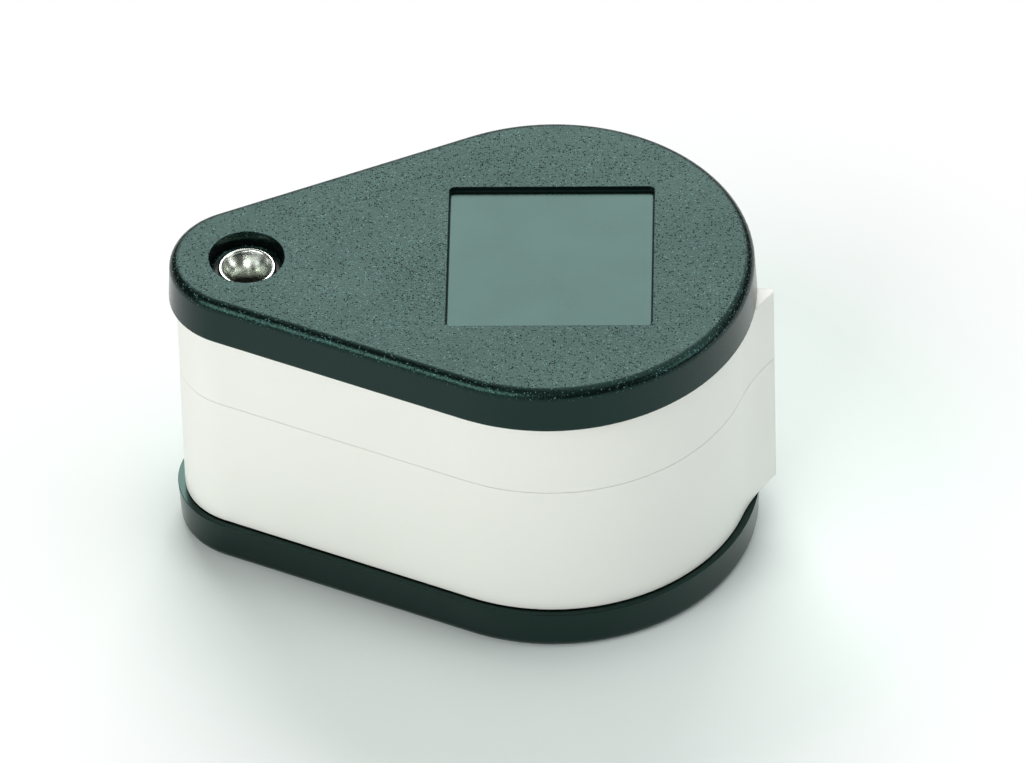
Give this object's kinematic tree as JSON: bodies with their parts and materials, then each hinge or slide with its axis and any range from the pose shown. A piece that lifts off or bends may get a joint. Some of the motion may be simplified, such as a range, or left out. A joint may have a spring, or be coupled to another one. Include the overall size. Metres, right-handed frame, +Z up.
{
  "type": "folding pocket magnifier",
  "caption": "Drop-shaped folding pocket magnifier: a thick and a thin lens frame swing out from between protective covers on one hollow rivet.",
  "frame": {"origin": "foot of the lenses' optical axis on the face the magnifier rests on, closed", "axes": "+X from the optical axis towards the thumb tab, away from the pivot; +Z up, from the bottom cover to the top cover"},
  "size_m": [0.0558, 0.038, 0.032],
  "materials": {
    "cover": "black, fine spark-eroded grain on the outer face, smooth side wall",
    "rivet": "bright nickel plate",
    "steel": "turned",
    "black_metal": "satin black",
    "slip_plastic": "natural acetal",
    "frame_plastic": "off-white, semi-gloss",
    "bush": "turned",
    "lens": "polished"
  },
  "bodies": {
    "covers": {"bottom_cover": "cover", "top_cover": "cover", "pivot_rivet": "rivet", "pivot_sleeve": "steel", "bottom_rivet_washer": "black_metal", "top_rivet_washer": "black_metal", "bottom_slip_washer": "slip_plastic", "middle_slip_washer": "slip_plastic", "top_slip_washer": "slip_plastic", "disc_spring": "steel"},
    "lower_lens": {"lower_frame": "frame_plastic", "lower_bush": "bush", "lower_stop_ring": "black_metal", "lower_lens_rear": "lens", "lower_lens_core": "lens", "lower_lens_front": "lens", "lower_lens_ring": "black_metal"},
    "upper_lens": {"upper_frame": "frame_plastic", "upper_bush": "bush", "upper_lens_flint": "lens", "upper_lens_crown": "lens", "upper_lens_ring": "black_metal"}
  },
  "joints": [
    {"name": "lower_lens_swing", "type": "hinge", "parent": "covers", "child": "lower_lens", "pos_m": [-0.028, 0, 0.0119], "axis": [0, 0, 1], "continuous": true},
    {"name": "upper_lens_swing", "type": "hinge", "parent": "covers", "child": "upper_lens", "pos_m": [-0.028, 0, 0.0234], "axis": [0, 0, 1], "continuous": true}
  ]
}
